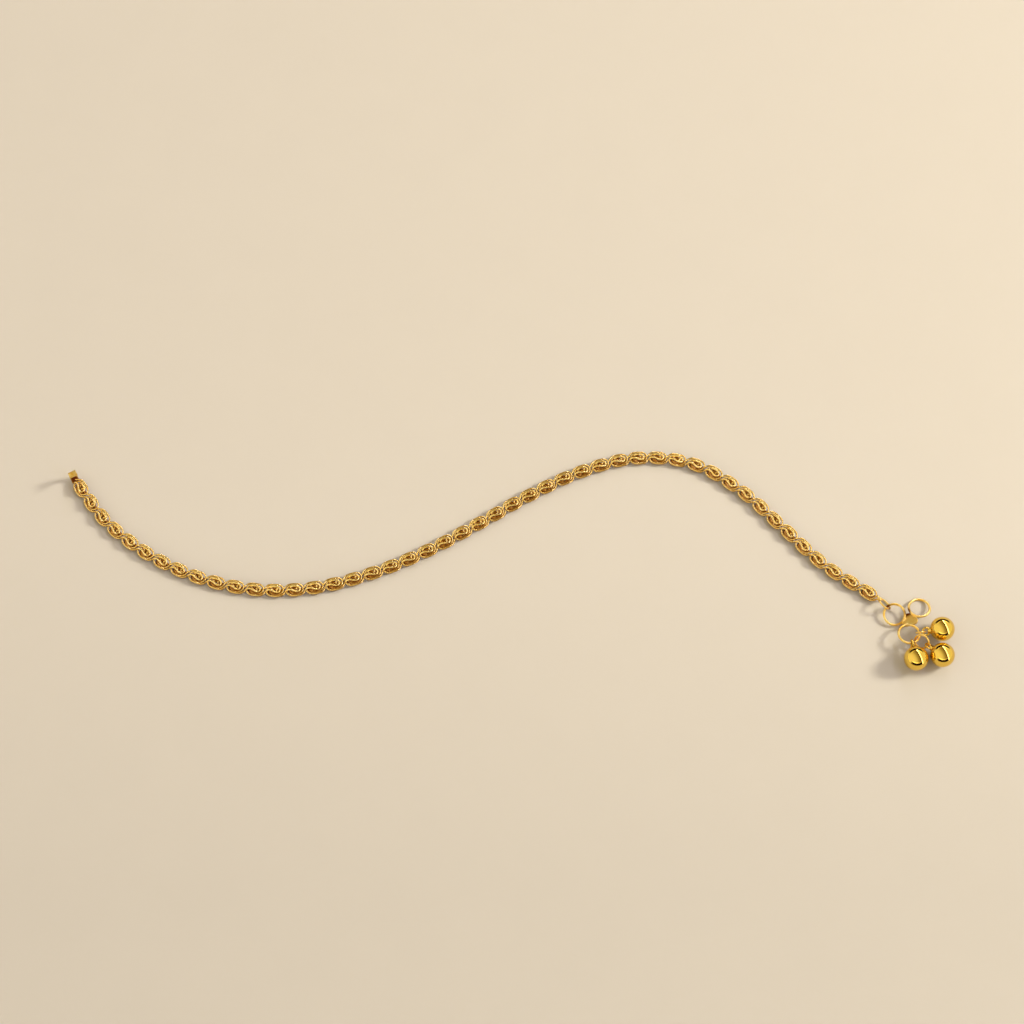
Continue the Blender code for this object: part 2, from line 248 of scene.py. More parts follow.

# Painted shade: the floor's colour darkens a little towards the front, where the light falls off: places
# along Y, and the tone there
FLOOR_FRONT_SHADE = (-0.09, 0.90)
FLOOR_MIDDLE_SHADE = (0.01, 0.985)
FLOOR_CLOUD_SCALE = 60.0
FLOOR_CLOUD_TONE = 0.97


class ChainSettings(bpy.types.PropertyGroup):
    """Sizes of the snail chain."""

    units: bpy.props.IntProperty(
        name="Units", description="Number of scrolls along the chain", default=47, min=12)
    pitch: bpy.props.FloatProperty(
        name="Pitch", description="Length of one scroll", default=0.0053, unit="LENGTH")
    width: bpy.props.FloatProperty(
        name="Width", description="Width over the outer wires", default=0.0036, unit="LENGTH")
    height: bpy.props.FloatProperty(
        name="Height", description="Height over both strands", default=0.0023, unit="LENGTH")
    wire: bpy.props.FloatProperty(
        name="Wire", description="Thickness of the wire", default=0.00049, unit="LENGTH")
    sections: bpy.props.IntProperty(
        name="Sections", description="Number of pieces that the chain is kept in", default=4, min=1)


class HookSettings(bpy.types.PropertyGroup):
    """Sizes of the strip hook."""

    width: bpy.props.FloatProperty(
        name="Width", description="Width of the strip", default=0.0021, unit="LENGTH")
    thickness: bpy.props.FloatProperty(
        name="Thickness", description="Thickness of the strip", default=0.0005, unit="LENGTH")
    height: bpy.props.FloatProperty(
        name="Height", description="Height over the hook's top", default=0.0052, unit="LENGTH")
    reach: bpy.props.FloatProperty(
        name="Reach", description="Distance of the upright from the chain's end", default=0.0013,
        unit="LENGTH")
    overlap: bpy.props.FloatProperty(
        name="Overlap", description="How far the top returns over the chain", default=0.0001,
        unit="LENGTH")
    lip: bpy.props.FloatProperty(
        name="Lip", description="Drop of the hook's mouth", default=0.0002, unit="LENGTH")
    bend: bpy.props.FloatProperty(
        name="Bend", description="Radius of the strip's bends", default=0.0007, unit="LENGTH")
    edge: bpy.props.FloatProperty(
        name="Edge", description="Softening of the strip's edges", default=0.00010, unit="LENGTH")


class RingSettings(bpy.types.PropertyGroup):
    """Sizes of the rings and of the plate between them."""

    size_diameter: bpy.props.FloatProperty(
        name="Size ring", description="Outer diameter of a size ring", default=0.0062, unit="LENGTH")
    size_wire: bpy.props.FloatProperty(
        name="Size ring wire", description="Wire of a size ring", default=0.00065, unit="LENGTH")
    spread: bpy.props.FloatProperty(
        name="Spread", description="Air between two size rings", default=0.0014, unit="LENGTH")
    plate: bpy.props.FloatProperty(
        name="Plate", description="Thickness of the plate", default=0.00045, unit="LENGTH")
    corner: bpy.props.FloatProperty(
        name="Plate corner", description="Radius of the plate's corners", default=0.0013, unit="LENGTH")
    jump_wire: bpy.props.FloatProperty(
        name="Jump ring wire", description="Wire of a jump ring", default=0.0005, unit="LENGTH")
    end_diameter: bpy.props.FloatProperty(
        name="End ring", description="Outer diameter of the ring at the chain's end", default=0.0041,
        unit="LENGTH")
    side_diameter: bpy.props.FloatProperty(
        name="Side ring", description="Outer diameter of the back bell's ring", default=0.0029,
        unit="LENGTH")
    front_diameter: bpy.props.FloatProperty(
        name="Front ring", description="Outer diameter of the right bell's ring", default=0.0043,
        unit="LENGTH")
    solder: bpy.props.FloatProperty(
        name="Solder bead", description="Diameter of the bead at the chain's end", default=0.0012,
        unit="LENGTH")


class BellSettings(bpy.types.PropertyGroup):
    """Sizes of the round bells."""

    diameter: bpy.props.FloatProperty(
        name="Diameter", description="Diameter of a bell's ball", default=0.0065, unit="LENGTH")
    wall: bpy.props.FloatProperty(
        name="Wall", description="Thickness of the bell's wall", default=0.0004, unit="LENGTH")
    slit_width: bpy.props.FloatProperty(
        name="Slit width", description="Width of the slit", default=0.0006, unit="LENGTH")
    slit_span: bpy.props.FloatProperty(
        name="Slit span", description="Length of the slit", default=0.0040, unit="LENGTH")
    eye_diameter: bpy.props.FloatProperty(
        name="Eye", description="Outer diameter of a bell's eye", default=0.0024, unit="LENGTH")
    eye_wire: bpy.props.FloatProperty(
        name="Eye wire", description="Wire of a bell's eye", default=0.0005, unit="LENGTH")


class GoldSettings(bpy.types.PropertyGroup):
    """Colours of the gold plate."""

    # Crown and tan mix in random patches over all the wire; the links' lower wire is made darker only by
    # painted shade
    crown: bpy.props.FloatVectorProperty(
        name="Crown gold", description="Colour of the links' rubbed tops", subtype="COLOR", size=3,
        default=(1.0, 0.80, 0.34), min=0.0, max=1.0)
    tan: bpy.props.FloatVectorProperty(
        name="Tan gold", description="Colour of the links' less rubbed wire", subtype="COLOR", size=3,
        default=(0.94, 0.60, 0.12), min=0.0, max=1.0)
    ball: bpy.props.FloatVectorProperty(
        name="Ball gold", description="Colour of the bells", subtype="COLOR", size=3,
        default=(0.84, 0.57, 0.10), min=0.0, max=1.0)
    bright: bpy.props.FloatVectorProperty(
        name="Bright gold", description="Colour of polished plate", subtype="COLOR", size=3,
        default=(1.0, 0.76, 0.25), min=0.0, max=1.0)
    deep: bpy.props.FloatVectorProperty(
        name="Deep gold", description="Colour of thicker, duller plate", subtype="COLOR", size=3,
        default=(0.94, 0.54, 0.07), min=0.0, max=1.0)
    # Dark tone of the painted shade at the rings' meeting places and at the hook's foot
    solder: bpy.props.FloatVectorProperty(
        name="Solder", description="Colour of the dark solder", subtype="COLOR", size=3,
        default=(0.18, 0.045, 0.012), min=0.0, max=1.0)


class StageSettings(bpy.types.PropertyGroup):
    """Floor, lights and camera."""

    floor: bpy.props.FloatVectorProperty(
        name="Floor", description="Colour of the floor", subtype="COLOR", size=3,
        default=(0.520, 0.466, 0.366), min=0.0, max=1.0)
    key_power: bpy.props.FloatProperty(
        name="Window light", description="Power of the window light", default=34.0, unit="POWER")
    key_heading: bpy.props.FloatProperty(
        name="Window heading", description="Direction of the window in the plan, in degrees from +X",
        default=12.0)
    key_elevation: bpy.props.FloatProperty(
        name="Window elevation", description="Angle of the window above the floor",
        default=math.radians(30.0), subtype="ANGLE", unit="ROTATION")
    room: bpy.props.FloatProperty(
        name="Room", description="Strength of the room's even light", default=1.0)
    camera_elevation: bpy.props.FloatProperty(
        name="Camera elevation", description="Angle of the camera above the floor",
        default=math.radians(68.0), subtype="ANGLE", unit="ROTATION")
    camera_distance: bpy.props.FloatProperty(
        name="Camera distance", description="Distance from the camera to the floor point it looks at",
        default=0.6528, unit="LENGTH")


def heading(degrees):
    """Unit vector in the plan for a heading in degrees."""
    angle = math.radians(degrees)
    return Vector((math.cos(angle), math.sin(angle), 0.0))


def leaning(uphill, lean):
    """Normal of a plane that rises by lean degrees towards the heading uphill."""
    angle = math.radians(lean)
    return UP * math.cos(angle) - heading(uphill) * math.sin(angle)


def turn_to(normal):
    """Euler angles that turn +Z to a direction."""
    return UP.rotation_difference(Vector(normal)).to_euler()


def clear_selection():
    """Leave edit mode and deselect everything."""
    if bpy.context.object and bpy.context.object.mode != "OBJECT":
        bpy.ops.object.mode_set(mode="OBJECT")
    bpy.ops.object.select_all(action="DESELECT")


def pick(*things):
    """Select these objects alone and make the first one active."""
    clear_selection()
    for thing in things:
        thing.select_set(True)
    bpy.context.view_layer.objects.active = things[0]


def joined(*things):
    """Join these objects into the first one."""
    pick(*things)
    bpy.ops.object.join()
    return bpy.context.object


def settle(thing):
    """Put an object's place, turn and size into its mesh."""
    pick(thing)
    bpy.ops.object.transform_apply(location=True, rotation=True, scale=True)
    return thing


def applied(thing, kind, **values):
    """Add a modifier with these values and apply it."""
    pick(thing)
    modifier = thing.modifiers.new(kind.lower(), kind)
    for name, value in values.items():
        setattr(modifier, name, value)
    bpy.ops.object.modifier_apply(modifier=modifier.name)


def remove(thing):
    """Delete a helper object."""
    bpy.data.objects.remove(thing)


def cleaned(thing):
    """Merge doubled vertices and point all faces outwards."""
    pick(thing)
    bpy.ops.object.mode_set(mode="EDIT")
    bpy.ops.mesh.select_all(action="SELECT")
    bpy.ops.mesh.remove_doubles(threshold=MERGE_DISTANCE)
    bpy.ops.mesh.normals_make_consistent(inside=False)
    bpy.ops.object.mode_set(mode="OBJECT")


def as_piece(thing, name, material, slot, *nodes):
    """Finish a piece: its place in its mesh, its material, its body and the solids it stands for."""
    settle(thing)
    thing.name = name
    thing.data.name = name
    thing.data.materials.clear()
    thing.data.materials.append(material)
    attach(thing, BODY)
    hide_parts(*nodes)
    clear_selection()


def make_sockets(group, inputs, outputs):
    """Named sockets of a node group, with the inputs' defaults."""
    for name, kind, default in inputs:
        socket = group.interface.new_socket(name=name, in_out="INPUT", socket_type=kind)
        socket.default_value = default
    for name, kind in outputs:
        group.interface.new_socket(name=name, in_out="OUTPUT", socket_type=kind)


def worn_and_shaded_plate_group():
    """Shader group for gold plate: two tones in soft patches and scratches, and painted shade that darkens
    the colour low down and between close wires.
    """
    group = bpy.data.node_groups.get("worn_and_shaded_plate")
    if group:
        return group
    group = bpy.data.node_groups.new("worn_and_shaded_plate", "ShaderNodeTree")
    make_sockets(
        group,
        [
            ("Bright", "NodeSocketColor", (1.0, 0.74, 0.22, 1.0)),
            ("Deep", "NodeSocketColor", (0.95, 0.62, 0.13, 1.0)),
            ("Patch Scale", "NodeSocketFloat", 400.0),
            ("Scratch Scale", "NodeSocketFloat", 3000.0),
            ("Polish", "NodeSocketFloat", 0.1),
            ("Dullness", "NodeSocketFloat", 0.25),
            # Dark tone of the painted shade, and the heights over which it fades out
            ("Painted Shade", "NodeSocketColor", (0.36, 0.13, 0.012, 1.0)),
            ("Painted Shade Floor", "NodeSocketFloat", -1.0),
            ("Painted Shade Height", "NodeSocketFloat", 0.0),
        ],
        [("Color", "NodeSocketColor"), ("Roughness", "NodeSocketFloat"), ("Height", "NodeSocketFloat")],
    )
    nodes = group.nodes
    links = group.links
    taken = nodes.new("NodeGroupInput")
    given = nodes.new("NodeGroupOutput")
    place = nodes.new("ShaderNodeTexCoord")

    patches = nodes.new("ShaderNodeTexNoise")
    patches.inputs["Detail"].default_value = 4.0
    links.new(place.outputs["Object"], patches.inputs["Vector"])
    links.new(taken.outputs["Patch Scale"], patches.inputs["Scale"])

    stretch = nodes.new("ShaderNodeMapping")
    stretch.inputs["Scale"].default_value = SCRATCH_STRETCH
    stretch.inputs["Rotation"].default_value = SCRATCH_TURN
    links.new(place.outputs["Object"], stretch.inputs["Vector"])
    scratches = nodes.new("ShaderNodeTexNoise")
    scratches.inputs["Detail"].default_value = 6.0
    scratches.inputs["Roughness"].default_value = 0.7
    links.new(stretch.outputs["Vector"], scratches.inputs["Vector"])
    links.new(taken.outputs["Scratch Scale"], scratches.inputs["Scale"])

    tone = nodes.new("ShaderNodeValToRGB")
    for stop, position in zip(tone.color_ramp.elements, PATCH_EDGES):
        stop.position = position
    links.new(patches.outputs["Fac"], tone.inputs["Fac"])
    colour = nodes.new("ShaderNodeMix")
    colour.data_type = "RGBA"
    links.new(tone.outputs["Color"], colour.inputs["Factor"])
    links.new(taken.outputs["Bright"], colour.inputs["A"])
    links.new(taken.outputs["Deep"], colour.inputs["B"])
    # Painted shade: darker towards the floor, fading out between two heights
    split = nodes.new("ShaderNodeSeparateXYZ")
    links.new(place.outputs["Object"], split.inputs["Vector"])
    depth = nodes.new("ShaderNodeMapRange")
    depth.interpolation_type = "SMOOTHSTEP"
    links.new(split.outputs["Z"], depth.inputs["Value"])
    links.new(taken.outputs["Painted Shade Floor"], depth.inputs["From Min"])
    links.new(taken.outputs["Painted Shade Height"], depth.inputs["From Max"])
    # Painted shade between close wires, from how open the air around each point is
    occlusion_shade = nodes.new("ShaderNodeAmbientOcclusion")
    occlusion_shade.only_local = True
    occlusion_shade.samples = SHELTER_SAMPLES
    occlusion_shade.inputs["Distance"].default_value = SHELTER_REACH
    open_air = nodes.new("ShaderNodeMapRange")
    open_air.inputs["From Min"].default_value = SHELTER_SHARES[0]
    open_air.inputs["From Max"].default_value = SHELTER_SHARES[1]
    links.new(occlusion_shade.outputs["AO"], open_air.inputs["Value"])
    unshaded_share = nodes.new("ShaderNodeMath")
    unshaded_share.operation = "MULTIPLY"
    links.new(depth.outputs["Result"], unshaded_share.inputs[0])
    links.new(open_air.outputs["Result"], unshaded_share.inputs[1])
    # Blend the patch colour into the dark tone of the painted shade
    painted_shade = nodes.new("ShaderNodeMix")
    painted_shade.data_type = "RGBA"
    links.new(unshaded_share.outputs["Value"], painted_shade.inputs["Factor"])
    links.new(taken.outputs["Painted Shade"], painted_shade.inputs["A"])
    links.new(colour.outputs["Result"], painted_shade.inputs["B"])
    links.new(painted_shade.outputs["Result"], given.inputs["Color"])

    wear = nodes.new("ShaderNodeMath")
    wear.operation = "MULTIPLY"
    links.new(patches.outputs["Fac"], wear.inputs[0])
    links.new(scratches.outputs["Fac"], wear.inputs[1])
    rough = nodes.new("ShaderNodeMapRange")
    rough.inputs["From Min"].default_value = WEAR_RANGE[0]
    rough.inputs["From Max"].default_value = WEAR_RANGE[1]
    links.new(wear.outputs["Value"], rough.inputs["Value"])
    links.new(taken.outputs["Polish"], rough.inputs["To Min"])
    links.new(taken.outputs["Dullness"], rough.inputs["To Max"])
    links.new(rough.outputs["Result"], given.inputs["Roughness"])

    relief = nodes.new("ShaderNodeMix")
    relief.data_type = "FLOAT"
    relief.inputs["Factor"].default_value = SCRATCH_SHARE
    links.new(patches.outputs["Fac"], relief.inputs["A"])
    links.new(scratches.outputs["Fac"], relief.inputs["B"])
    links.new(relief.outputs["Result"], given.inputs["Height"])
    return group


def shade_spot(tree, colour, solder, centre, radius):
    """Paint shade: blend a colour into a dark shade tone within a radius of a point."""
    place = tree.nodes.new("ShaderNodeTexCoord")
    away = tree.nodes.new("ShaderNodeVectorMath")
    away.operation = "DISTANCE"
    away.inputs[1].default_value = centre
    tree.links.new(place.outputs["Object"], away.inputs[0])
    share = tree.nodes.new("ShaderNodeMapRange")
    share.interpolation_type = "SMOOTHSTEP"
    share.inputs["From Min"].default_value = radius * SHADE_SPOT_CORE
    share.inputs["From Max"].default_value = radius
    tree.links.new(away.outputs["Value"], share.inputs["Value"])
    blend = tree.nodes.new("ShaderNodeMix")
    blend.data_type = "RGBA"
    tree.links.new(share.outputs["Result"], blend.inputs["Factor"])
    blend.inputs["A"].default_value = (*solder, 1.0)
    tree.links.new(colour, blend.inputs["B"])
    return blend.outputs["Result"]


def plate_material(
        name, bright, deep, polish, dullness, relief, patch_scale=400.0, scratch_scale=3000.0,
        painted_shade=NO_FLOOR_SHADE, solder=(0.0, 0.0, 0.0), spots=()):
    """Gold plate with its own tones, polish and relief depth, and painted shade low down, between close
    wires and at dark spots.
    """
    material = bpy.data.materials.new(name)
    material.use_nodes = True
    nodes = material.node_tree.nodes
    links = material.node_tree.links
    shader = nodes["Principled BSDF"]
    shader.inputs["Metallic"].default_value = 1.0
    worn = nodes.new("ShaderNodeGroup")
    worn.node_tree = worn_and_shaded_plate_group()
    worn.inputs["Bright"].default_value = (*bright, 1.0)
    worn.inputs["Deep"].default_value = (*deep, 1.0)
    worn.inputs["Patch Scale"].default_value = patch_scale
    worn.inputs["Scratch Scale"].default_value = scratch_scale
    worn.inputs["Polish"].default_value = polish
    worn.inputs["Dullness"].default_value = dullness
    worn.inputs["Painted Shade Floor"].default_value = painted_shade[0]
    worn.inputs["Painted Shade Height"].default_value = painted_shade[1]
    colour = worn.outputs["Color"]
    # Dark spots of painted shade where parts meet or lie under another part
    for centre, radius in spots:
        colour = shade_spot(material.node_tree, colour, solder, centre, radius)
    links.new(colour, shader.inputs["Base Color"])
    links.new(worn.outputs["Roughness"], shader.inputs["Roughness"])
    bump = nodes.new("ShaderNodeBump")
    bump.inputs["Distance"].default_value = relief
    links.new(worn.outputs["Height"], bump.inputs["Height"])
    links.new(bump.outputs["Normal"], shader.inputs["Normal"])
    return material


def ring_material(name, gold):
    """Smooth, half polished gold of the rings, with dark spots of painted shade where the parts meet."""
    return plate_material(
        name, gold.bright, gold.deep, polish=0.27, dullness=0.33, relief=0.000002,
        solder=gold.solder, spots=RING_SHADE_SPOTS)


def torus(diameter, wire, centre, normal, around=RING_SIDES):
    """Round wire ring at its place."""
    bpy.ops.mesh.primitive_torus_add(
        major_segments=around, minor_segments=WIRE_SIDES, major_radius=(diameter - wire) / 2,
        minor_radius=wire / 2, location=centre, rotation=turn_to(normal))
    thing = settle(bpy.context.object)
    pick(thing)
    bpy.ops.object.shade_smooth()
    return thing


def in_ring(place, degrees):
    """Unit vector in a ring's plane with this heading in the plan."""
    normal = leaning(place[1], place[2])
    flat = heading(degrees)
    flat.z = -flat.dot(normal) / normal.z
    return flat.normalized()


def soldered(thing, grain, passes):
    """Flow joined bodies into one skin with soft solder fillets."""
    applied(thing, "REMESH", mode="VOXEL", voxel_size=grain)
    applied(thing, "SMOOTH", factor=0.5, iterations=passes)
    pick(thing)
    bpy.ops.object.shade_smooth()


def link_points(sides):
    """Points, as shares, of a link's loop on its junction's right side, its left side or both."""
    right = [Vector(point) for point in LINK_HALF]
    left = [-point for point in right]
    if sides == "BOTH":
        return right[:-1] + left[:-1]
    eye = Vector((EYELET_REACH, 0.0, 0.0))
    if sides == "RIGHT":
        return right + [-eye]
    return left + [eye]


def link_object(name, chain, sides):
    """One chain link: a closed loop of round wire, bent into a scroll on each side of its junction."""
    points = link_points(sides)
    scale = Vector((chain.pitch, (chain.width - chain.wire) / 2, (chain.height - chain.wire) / 2))
    lowest = (LOW_SWELL - 1) * chain.wire / (chain.height - chain.wire) + LOWEST_STRAND
    bpy.ops.curve.primitive_bezier_circle_add(location=(0.0, 0.0, 0.0))
    thing = bpy.context.object
    thing.name = name
    data = thing.data
    data.dimensions = "3D"
    data.resolution_u = LINK_RESOLUTION
    spline = data.splines[0]
    spline.bezier_points.add(len(points) - len(spline.bezier_points))
    for knot, point in zip(spline.bezier_points, points):
        low = min(max((SWELL_TOP - point.z) / SWELL_DEPTH, 0.0), 1.0)
        knot.radius = 1 + (LOW_SWELL - 1) * low
        knot.co = Vector((point.x, point.y, max(point.z, lowest))) * scale
        knot.handle_left_type = "AUTO"
        knot.handle_right_type = "AUTO"
    data.bevel_depth = chain.wire / 2
    data.bevel_resolution = WIRE_RESOLUTION
    pick(thing)
    bpy.ops.object.convert(target="MESH")
    thing = bpy.context.object
    thing.location.z = chain.height / 2
    settle(thing)
    cleaned(thing)
    pick(thing)
    bpy.ops.object.shade_smooth()
    return thing


def route_curve():
    """Smooth curve through the route's points, for bending the straight chain."""
    bpy.ops.curve.primitive_bezier_curve_add(location=(0.0, 0.0, 0.0))
    route = bpy.context.object
    route.name = "chain_route"
    route.data.dimensions = "2D"
    route.data.resolution_u = ROUTE_RESOLUTION
    spline = route.data.splines[0]
    spline.bezier_points.add(len(CHAIN_ROUTE) - 2)
    knots = [Vector((x, y, 0.0)) for x, y in CHAIN_ROUTE]
    padded = [knots[0] * 2 - knots[1]] + knots + [knots[-1] * 2 - knots[-2]]
    for index, knot in enumerate(spline.bezier_points):
        slope = (padded[index + 2] - padded[index]) / 6
        knot.handle_left_type = "FREE"
        knot.handle_right_type = "FREE"
        knot.co = knots[index]
        knot.handle_left = knots[index] - slope
        knot.handle_right = knots[index] + slope
    return route


def repeated(link, count, start, pitch):
    """A row of copies of a link, from a distance along the straight chain."""
    row = link.copy()
    row.data = link.data.copy()
    bpy.context.scene.collection.objects.link(row)
    row.location.x = start
    settle(row)
    applied(
        row, "ARRAY", count=count, use_relative_offset=False, use_constant_offset=True,
        constant_offset_displace=(pitch, 0.0, 0.0))
    return row


class ANKLET_OT_chain(bpy.types.Operator):
    """Snail chain of interlocked scroll links"""

    bl_idname = "anklet.chain"
    bl_label = "Chain"

    def execute(self, context):
        chain = context.scene.anklet_chain
        gold = context.scene.anklet_gold
        # The chain's wire gets painted shade towards the floor, and between close wires
        material = plate_material(
            "chain_gold", gold.crown, gold.tan, polish=0.12, dullness=0.28, relief=0.00003,
            patch_scale=2600.0, painted_shade=(chain.height * PAINTED_SHADE_FLOOR, chain.height * PAINTED_SHADE_TOP))
        link = link_object("link", chain, "BOTH")
        first = link_object("first_link", chain, "RIGHT")
        last = link_object("last_link", chain, "LEFT")
        route = route_curve()
        inner = chain.units - 1
        edges = [1 + round(inner * index / chain.sections) for index in range(chain.sections + 1)]
        for index in range(chain.sections):
            count = edges[index + 1] - edges[index]
            row = repeated(link, count, edges[index] * chain.pitch, chain.pitch)
            if index == 0:
                row = joined(row, repeated(first, 1, 0.0, chain.pitch))
            if index == chain.sections - 1:
                row = joined(row, repeated(last, 1, chain.units * chain.pitch, chain.pitch))
            applied(row, "CURVE", object=route, deform_axis="POS_X")
            as_piece(row, "chain_links_%d" % (index + 1), material, "chain_gold", "chain")
        for helper in (link, first, last, route):
            remove(helper)
        return {"FINISHED"}


def strip_bend(corner, back, ahead, radius):
    """Points rounding a corner of the hook's side profile."""
    points = []
    for step in range(HOOK_BEND_STEPS + 1):
        angle = math.pi / 2 * step / HOOK_BEND_STEPS
        from_back = radius * (1 - math.sin(angle))
        from_ahead = radius * (1 - math.cos(angle))
        points.append((
            corner[0] + from_back * back[0] + from_ahead * ahead[0],
            corner[1] + from_back * back[1] + from_ahead * ahead[1],
        ))
    return points


class ANKLET_OT_hook(bpy.types.Operator):
    """Hook bent from a flat strip at the chain's first end"""

    bl_idname = "anklet.hook"
    bl_label = "Hook"

    def execute(self, context):
        hook = context.scene.anklet_hook
        chain = context.scene.anklet_chain
        gold = context.scene.anklet_gold
        foot = chain.height / 2
        top = hook.height - hook.thickness / 2
        profile = [(HOOK_ROOT, foot)]
        profile += strip_bend((hook.reach, foot), (-1, 0), (0, 1), hook.bend)
        profile += strip_bend((hook.reach, top), (0, -1), (-1, 0), hook.bend)
        profile += [(-hook.overlap, top), (-hook.overlap - hook.lip / 2, top - hook.lip)]
        bpy.ops.curve.primitive_nurbs_path_add(location=(0.0, 0.0, 0.0))
        thing = bpy.context.object
        thing.data.splines.clear()
        spline = thing.data.splines.new("POLY")
        spline.points.add(len(profile) - 1)
        for slot, point in zip(spline.points, profile):
            slot.co = (point[0], point[1], 0.0, 1.0)
        thing.data.extrude = hook.width / 2
        pick(thing)
        bpy.ops.object.convert(target="MESH")
        thing = bpy.context.object
        cleaned(thing)
        applied(thing, "SOLIDIFY", thickness=hook.thickness, offset=0.0)
        applied(
            thing, "BEVEL", width=hook.edge, segments=3, limit_method="ANGLE",
            angle_limit=HOOK_EDGE_ANGLE)
        pick(thing)
        bpy.ops.object.shade_smooth_by_angle(angle=SHARP_ANGLE)
        start = Vector((*CHAIN_ROUTE[0], 0.0))
        outward = (start - Vector((*CHAIN_ROUTE[1], 0.0))).normalized()
        outward.rotate(Matrix.Rotation(HOOK_TURN, 3, "Z"))
        side = outward.cross(UP)
        turn = Matrix((outward, UP, side)).transposed().to_4x4()
        thing.matrix_world = Matrix.Translation(start) @ turn
        # The hook's foot, under its top, gets a dark spot of painted shade
        material = plate_material(
            "hook_gold", gold.bright, gold.deep, polish=0.28, dullness=0.42, relief=0.00003,
            patch_scale=900.0, scratch_scale=2500.0, solder=gold.solder, spots=HOOK_FOOT_SHADE)
        as_piece(thing, "hook_strip", material, "hook_gold", "clasp_hook")
        return {"FINISHED"}


class ANKLET_OT_end_ring(bpy.types.Operator):
    """Jump ring soldered to the chain's other end"""

    bl_idname = "anklet.end_ring"
    bl_label = "End ring"

    def execute(self, context):
        rings = context.scene.anklet_rings
        gold = context.scene.anklet_gold
        place = RING_PLACES["end"]
        radius = (rings.end_diameter - rings.jump_wire) / 2
        ring = torus(rings.end_diameter, rings.jump_wire, place[0], leaning(place[1], place[2]))
        spot = Vector(place[0]) - in_ring(place, SOLDER_HEADING) * radius
        bpy.ops.mesh.primitive_ico_sphere_add(subdivisions=4, radius=rings.solder / 2, location=spot)
        body = joined(ring, bpy.context.object)
        soldered(body, END_RING_GRAIN, END_RING_PASSES)
        material = ring_material("end_ring_gold", gold)
        as_piece(body, "end_ring_wire", material, "ring_gold", "end_ring")
        return {"FINISHED"}


class ANKLET_OT_size_rings(bpy.types.Operator):
    """Three size rings soldered onto a small plate"""

    bl_idname = "anklet.size_rings"
    bl_label = "Size rings"

    def execute(self, context):
        rings = context.scene.anklet_rings
        gold = context.scene.anklet_gold
        centre = Vector(PLATE_CENTRE)
        radius = (rings.size_diameter - rings.size_wire) / 2
        parts = []
        near = []
        for name in ("size_1", "size_2", "size_3"):
            place = RING_PLACES[name]
            ring = torus(rings.size_diameter, rings.size_wire, place[0], leaning(place[1], place[2]))
            parts.append(ring)
            towards = centre - Vector(place[0])
            degrees = math.degrees(math.atan2(towards.y, towards.x))
            near.append(Vector(place[0]) + in_ring(place, degrees) * radius)
        normal = (near[1] - near[0]).cross(near[2] - near[0]).normalized()
        if normal.z < 0:
            normal.negate()
        middle = sum(near, Vector()) / 3 - normal * (rings.plate / 2 + rings.size_wire / 2 - PLATE_SINK)
        parts.append(plate_object(rings, middle, normal, Vector(RING_PLACES["size_1"][0])))
        for spot in near:
            bpy.ops.mesh.primitive_ico_sphere_add(
                subdivisions=3, radius=rings.size_wire * SOLDER_SHARE, location=spot)
            parts.append(bpy.context.object)
        body = joined(*parts)
        soldered(body, SIZE_RING_GRAIN, SIZE_RING_PASSES)
        material = ring_material("size_ring_gold", gold)
        as_piece(body, "size_ring_trefoil", material, "ring_gold", "size_rings")
        return {"FINISHED"}


def plate_object(rings, centre, normal, ring_centre):
    """Rounded triangular plate, one of its sides towards a ring."""
    ring_radius = (rings.size_diameter - rings.size_wire) / 2
    reach = (rings.size_diameter + rings.spread) / math.sqrt(3) - ring_radius
    hub = (reach + PLATE_OVERLAP - rings.corner) * 2
    place = Matrix.Translation(centre) @ UP.rotation_difference(normal).to_matrix().to_4x4()
    flat = place.inverted() @ ring_centre
    first = math.degrees(math.atan2(flat.y, flat.x)) + THIRD_TURN / 2
    bpy.ops.curve.primitive_bezier_circle_add(location=(0.0, 0.0, 0.0))
    plate = bpy.context.object
    data = plate.data
    data.dimensions = "2D"
    data.fill_mode = "BOTH"
    data.extrude = rings.plate / 2
    data.splines.clear()
    spline = data.splines.new("POLY")
    points = []
    for corner in range(3):
        middle = first + THIRD_TURN * corner
        for step in range(PLATE_CORNER_STEPS + 1):
            turn = middle + THIRD_TURN * (step / PLATE_CORNER_STEPS - 0.5)
            points.append(heading(middle) * hub + heading(turn) * rings.corner)
    spline.points.add(len(points) - 1)
    for knot, point in zip(spline.points, points):
        knot.co = (*point, 1.0)
    spline.use_cyclic_u = True
    pick(plate)
    bpy.ops.object.convert(target="MESH")
    plate = bpy.context.object
    cleaned(plate)
    plate.matrix_world = place
    return settle(plate)


class ANKLET_OT_jump_rings(bpy.types.Operator):
    """Two small jump rings that carry the back and the right bell"""

    bl_idname = "anklet.jump_rings"
    bl_label = "Jump rings"

    def execute(self, context):
        rings = context.scene.anklet_rings
        gold = context.scene.anklet_gold
        material = ring_material("jump_ring_gold", gold)
        for name, diameter in (("side", rings.side_diameter), ("front", rings.front_diameter)):
            place = RING_PLACES[name]
            ring = torus(diameter, rings.jump_wire, place[0], leaning(place[1], place[2]))
            as_piece(ring, "jump_ring_" + name, material, "ring_gold", "bell_ring_" + name)
        return {"FINISHED"}


class ANKLET_OT_bells(bpy.types.Operator):
    """Three hollow round bells, each with a wire eye and a slit"""

    bl_idname = "anklet.bells"
    bl_label = "Bells"

    def execute(self, context):
        bells = context.scene.anklet_bells
        gold = context.scene.anklet_gold
        material = plate_material(
            "bell_gold", gold.ball, gold.ball, polish=0.03, dullness=0.10, relief=0.00001,
            patch_scale=250.0, scratch_scale=4000.0)
        for name, (centre, eye, eye_normal) in BELL_PLACES.items():
            bell = bell_object(bells, Vector(centre), Vector(eye), Vector(eye_normal))
            as_piece(bell, name + "_ball", material, "bell_gold", name)
        return {"FINISHED"}


